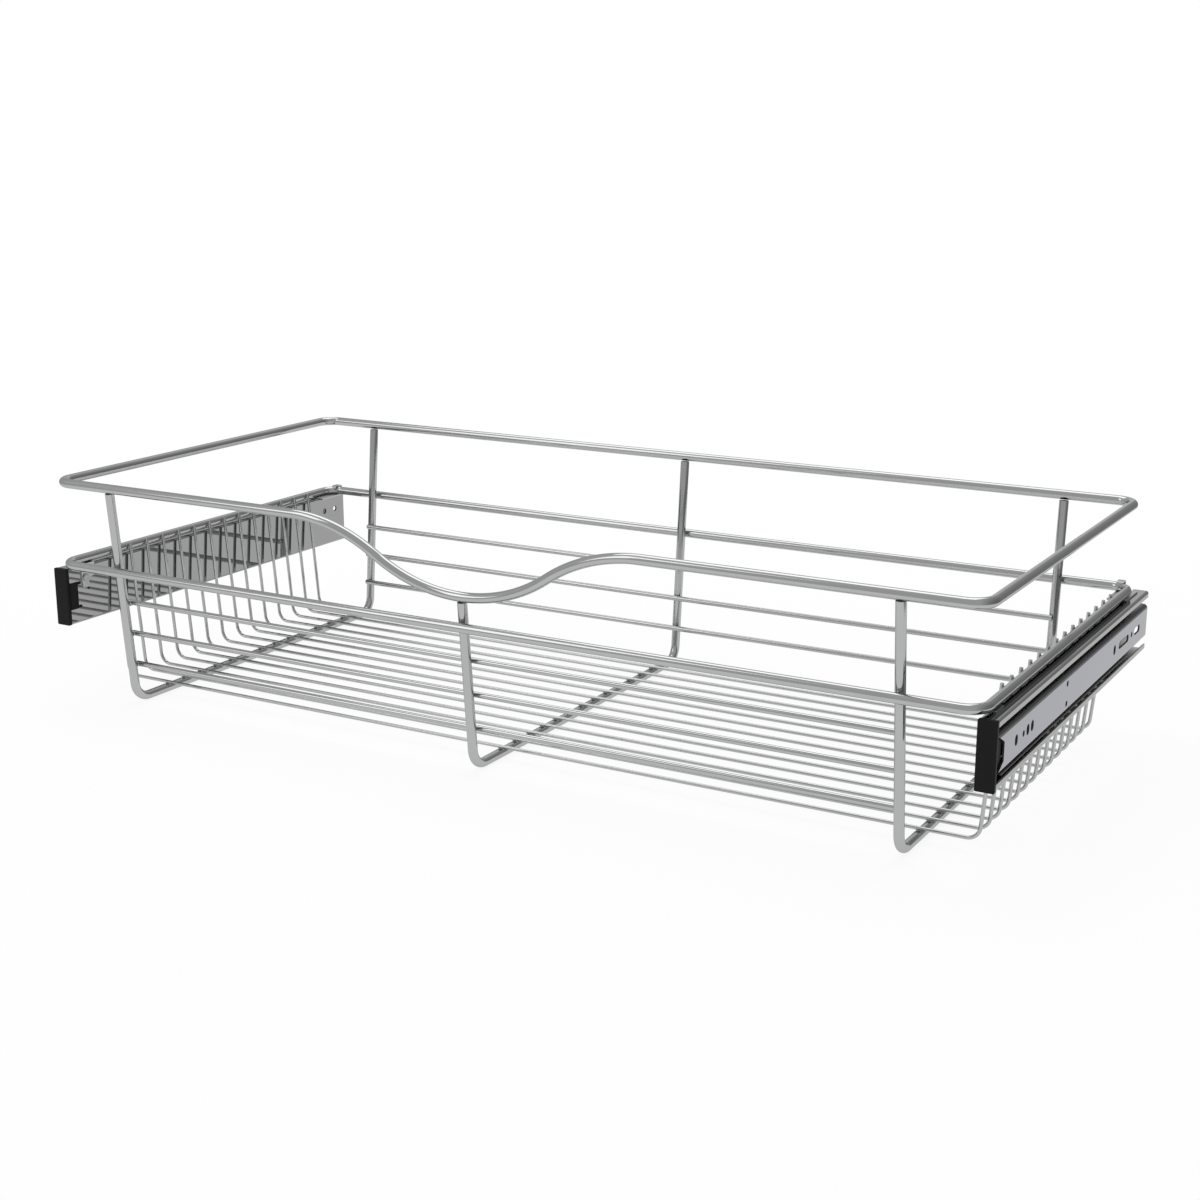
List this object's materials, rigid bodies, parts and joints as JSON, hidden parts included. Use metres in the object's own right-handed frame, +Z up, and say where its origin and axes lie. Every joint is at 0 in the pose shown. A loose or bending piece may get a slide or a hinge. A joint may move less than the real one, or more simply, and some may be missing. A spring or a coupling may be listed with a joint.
{
  "type": "pull-out wire basket",
  "caption": "Shallow chromed wire basket with a dipped front rim, on a pair of full-extension ball-bearing slides that screw to a cabinet's side panels.",
  "frame": {"origin": "centre of the footprint, on the plane that the support wires stand on", "axes": "+X to the right seen from the front, -Y out of the cabinet, +Z up"},
  "size_m": [0.762, 0.3571, 0.178],
  "materials": {
    "chromed_wire": "bright nickel-chrome plating on drawn steel wire",
    "rail_zinc": "bright zinc plating on rolled steel",
    "bracket_zinc": "bright zinc plating on pressed steel",
    "screw_zinc": "zinc plated screw",
    "cage_steel": "plain pressed steel strip",
    "ball_steel": "polished bearing steel",
    "cap_plastic": "fine matte moulded black plastic"
  },
  "bodies": {
    "cabinet_rails": {"left_cabinet_rail": "rail_zinc", "right_cabinet_rail": "rail_zinc"},
    "basket": {"top_rim_wire": "chromed_wire", "lower_frame_wire": "chromed_wire", "left_support_wire": "chromed_wire", "middle_support_wire": "chromed_wire", "right_support_wire": "chromed_wire", "lateral_wire_01": "chromed_wire", "lateral_wire_02": "chromed_wire", "lateral_wire_03": "chromed_wire", "lateral_wire_04": "chromed_wire", "lateral_wire_05": "chromed_wire", "lateral_wire_06": "chromed_wire", "lateral_wire_07": "chromed_wire", "lateral_wire_08": "chromed_wire", "lateral_wire_09": "chromed_wire", "lateral_wire_10": "chromed_wire", "lateral_wire_11": "chromed_wire", "lateral_wire_12": "chromed_wire", "lateral_wire_13": "chromed_wire", "lateral_wire_14": "chromed_wire", "front_wall_wire_1": "chromed_wire", "front_wall_wire_2": "chromed_wire", "front_wall_wire_3": "chromed_wire", "back_wall_wire_1": "chromed_wire", "back_wall_wire_2": "chromed_wire", "back_wall_wire_3": "chromed_wire", "left_basket_rail": "rail_zinc", "left_end_cap": "cap_plastic", "left_rear_bracket": "bracket_zinc", "left_front_clip": "bracket_zinc", "left_clip_screw": "screw_zinc", "right_basket_rail": "rail_zinc", "right_end_cap": "cap_plastic", "right_rear_bracket": "bracket_zinc", "right_front_clip": "bracket_zinc", "right_clip_screw": "screw_zinc"},
    "middle_rails": {"left_middle_rail": "rail_zinc", "right_middle_rail": "rail_zinc"},
    "outer_cages": {"left_outer_ball_cage": "cage_steel", "left_outer_balls": "ball_steel", "right_outer_ball_cage": "cage_steel", "right_outer_balls": "ball_steel"},
    "inner_cages": {"left_inner_ball_cage": "cage_steel", "left_inner_balls": "ball_steel", "right_inner_ball_cage": "cage_steel", "right_inner_balls": "ball_steel"}
  },
  "joints": [
    {"name": "basket_slide", "type": "slide", "parent": "cabinet_rails", "child": "basket", "axis": [0, -1, 0], "range_m": [0, 0.35]},
    {"name": "middle_rail_slide", "type": "slide", "parent": "cabinet_rails", "child": "middle_rails", "axis": [0, -1, 0], "range_m": [0, 0.175]},
    {"name": "outer_cage_slide", "type": "slide", "parent": "cabinet_rails", "child": "outer_cages", "axis": [0, -1, 0], "range_m": [0, 0.2625]},
    {"name": "inner_cage_slide", "type": "slide", "parent": "cabinet_rails", "child": "inner_cages", "axis": [0, -1, 0], "range_m": [0, 0.0875]}
  ],
  "couplings": [
    {"joint": "middle_rail_slide", "follows": "basket_slide", "ratio": 0.5},
    {"joint": "outer_cage_slide", "follows": "basket_slide", "ratio": 0.75},
    {"joint": "inner_cage_slide", "follows": "basket_slide", "ratio": 0.25}
  ]
}
